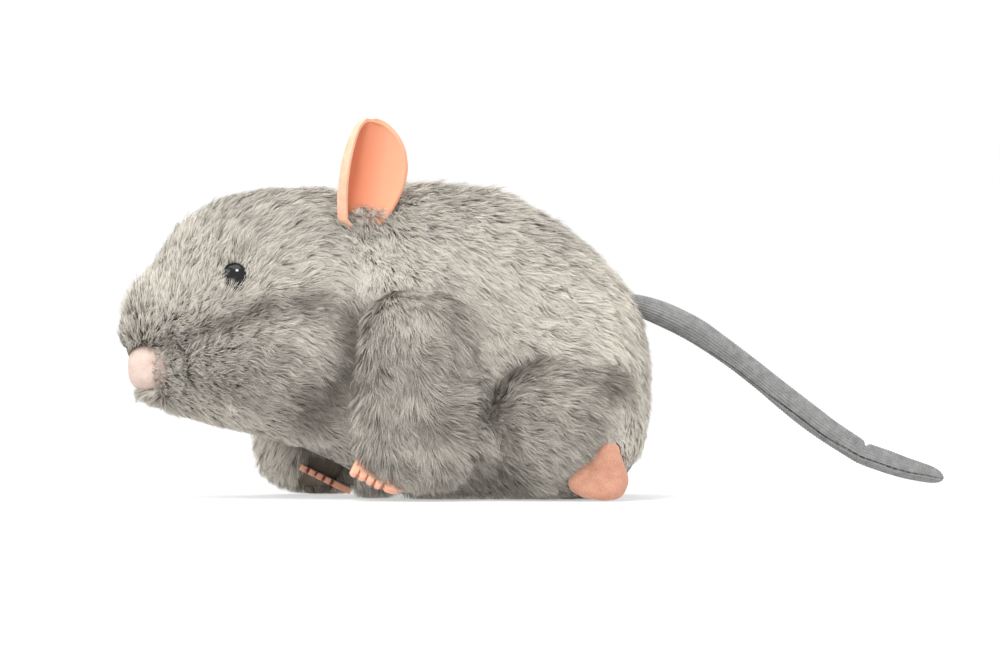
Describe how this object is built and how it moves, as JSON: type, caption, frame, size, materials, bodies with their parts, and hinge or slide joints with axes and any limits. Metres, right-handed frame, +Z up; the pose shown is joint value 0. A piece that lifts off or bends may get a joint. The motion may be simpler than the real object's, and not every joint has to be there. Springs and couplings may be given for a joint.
{
  "type": "clockwork mouse",
  "caption": "Plush-covered clockwork mouse: stuffed fur body on a wheeled spring motor, with a winding key, felt ears and paws and a knitted tail.",
  "frame": {"origin": "on the floor under the middle of the object's box, with the wheels standing on z = 0", "axes": "-X is the way the mouse faces, +X runs along the tail, +Y is its right side, +Z is up"},
  "size_m": [0.2834, 0.1027, 0.1321],
  "materials": {
    "fur_grey": "matte",
    "stuffing": "matte",
    "felt_peach": "matte",
    "nose_cloth": "matte",
    "eye_black": "gloss",
    "tail_knit": "matte",
    "chassis_plastic": "satin",
    "wheel_plastic": "satin",
    "steel": "satin",
    "brass": "satin",
    "rubber": "matte"
  },
  "bodies": {
    "body": {"head_fur_left": "fur_grey", "head_fur_right": "fur_grey", "jaw_fur": "fur_grey", "back_fur_left": "fur_grey", "back_fur_right": "fur_grey", "belly_fur": "fur_grey", "stuffing": "stuffing", "hind_leg_left": "fur_grey", "hind_leg_right": "fur_grey", "hind_fill_left": "stuffing", "hind_fill_right": "stuffing", "hind_foot_left": "felt_peach", "hind_foot_right": "felt_peach", "eye_left": "eye_black", "eye_right": "eye_black", "eye_washer_left": "chassis_plastic", "eye_washer_right": "chassis_plastic", "nose": "nose_cloth", "chassis_tray": "chassis_plastic", "motor_plate_left": "steel", "motor_plate_right": "steel", "pillar_front": "steel", "pillar_rear": "steel", "pillar_middle": "steel", "pillar_top": "steel", "click_spring": "steel", "roller_pin": "steel", "key_eyelet": "brass"},
    "drive": {"drive_axle": "steel", "drive_pinion": "brass", "wheel_left": "wheel_plastic", "wheel_right": "wheel_plastic", "tyre_left": "rubber", "tyre_right": "rubber"},
    "third": {"third_wheel": "brass", "third_arbor": "steel"},
    "second": {"second_wheel": "brass", "second_arbor": "steel"},
    "barrel": {"spring_barrel": "brass", "barrel_cover": "brass", "mainspring": "steel"},
    "key": {"winding_key": "steel", "winding_arbor": "steel", "ratchet_wheel": "steel"},
    "click": {"click_pawl": "steel"},
    "roller": {"front_roller": "wheel_plastic"},
    "foreleg_left": {"foreleg_left": "fur_grey", "foreleg_fill_left": "stuffing", "forepaw_left": "felt_peach"},
    "foreleg_right": {"foreleg_right": "fur_grey", "foreleg_fill_right": "stuffing", "forepaw_right": "felt_peach"},
    "ear_left": {"ear_left": "felt_peach"},
    "ear_right": {"ear_right": "felt_peach"},
    "tail": {"tail_sleeve": "tail_knit", "tail_filling": "stuffing"},
    "tail_tip": {"tail_tip": "tail_knit"}
  },
  "joints": [
    {"name": "wheel_drive", "type": "hinge", "parent": "body", "child": "drive", "pos_m": [0.004, 0, 0.012], "axis": [0, 1, 0], "continuous": true},
    {"name": "third_spin", "type": "hinge", "parent": "body", "child": "third", "pos_m": [-0.00251, 0, 0.02596], "axis": [0, 1, 0], "continuous": true},
    {"name": "second_spin", "type": "hinge", "parent": "body", "child": "second", "pos_m": [0.00043, 0, 0.04107], "axis": [0, 1, 0], "continuous": true},
    {"name": "barrel_spin", "type": "hinge", "parent": "body", "child": "barrel", "pos_m": [-0.00398, 0, 0.06017], "axis": [0, 1, 0], "continuous": true, "deforming": ["mainspring"]},
    {"name": "key_wind", "type": "hinge", "parent": "body", "child": "key", "pos_m": [-0.00398, 0, 0.06017], "axis": [0, 1, 0], "range_deg": [0, 1620]},
    {"name": "click_lift", "type": "hinge", "parent": "body", "child": "click", "pos_m": [0.00752, 0.0158, 0.05517], "axis": [0, 1, 0], "range_deg": [0, 12], "stiffness_Nm_per_rad": 0.005, "springref_deg": -11.46, "deforming": ["click_spring"]},
    {"name": "roller_spin", "type": "hinge", "parent": "body", "child": "roller", "pos_m": [-0.0395, 0, 0.0055], "axis": [0, 1, 0], "continuous": true},
    {"name": "shoulder_left", "type": "hinge", "parent": "body", "child": "foreleg_left", "pos_m": [-0.04, -0.0436, 0.06], "axis": [0, 1, 0], "range_deg": [-4, 30]},
    {"name": "shoulder_right", "type": "hinge", "parent": "body", "child": "foreleg_right", "pos_m": [-0.069, 0.0436, 0.057], "axis": [0, 1, 0], "range_deg": [-15, 25]},
    {"name": "ear_fold_left", "type": "hinge", "parent": "body", "child": "ear_left", "pos_m": [-0.0583, -0.0205, 0.09911], "axis": [1, 0, 0], "range_deg": [-15, 40], "stiffness_Nm_per_rad": 0.004},
    {"name": "ear_fold_right", "type": "hinge", "parent": "body", "child": "ear_right", "pos_m": [-0.0583, 0.0205, 0.09911], "axis": [-1, 0, 0], "range_deg": [-15, 40], "stiffness_Nm_per_rad": 0.004},
    {"name": "tail_swing", "type": "hinge", "parent": "body", "child": "tail", "pos_m": [0.0368, 0, 0.0674], "axis": [0, 0, 1], "range_deg": [-35, 35], "stiffness_Nm_per_rad": 0.01},
    {"name": "tail_fold", "type": "hinge", "parent": "tail", "child": "tail_tip", "pos_m": [0.1152, 0, 0.0159], "axis": [0, -1, 0], "range_deg": [-8, 35], "stiffness_Nm_per_rad": 0.002}
  ],
  "couplings": [
    {"joint": "third_spin", "follows": "wheel_drive", "ratio": -0.46667},
    {"joint": "second_spin", "follows": "wheel_drive", "ratio": 0.21778},
    {"joint": "barrel_spin", "follows": "wheel_drive", "ratio": -0.072593}
  ]
}
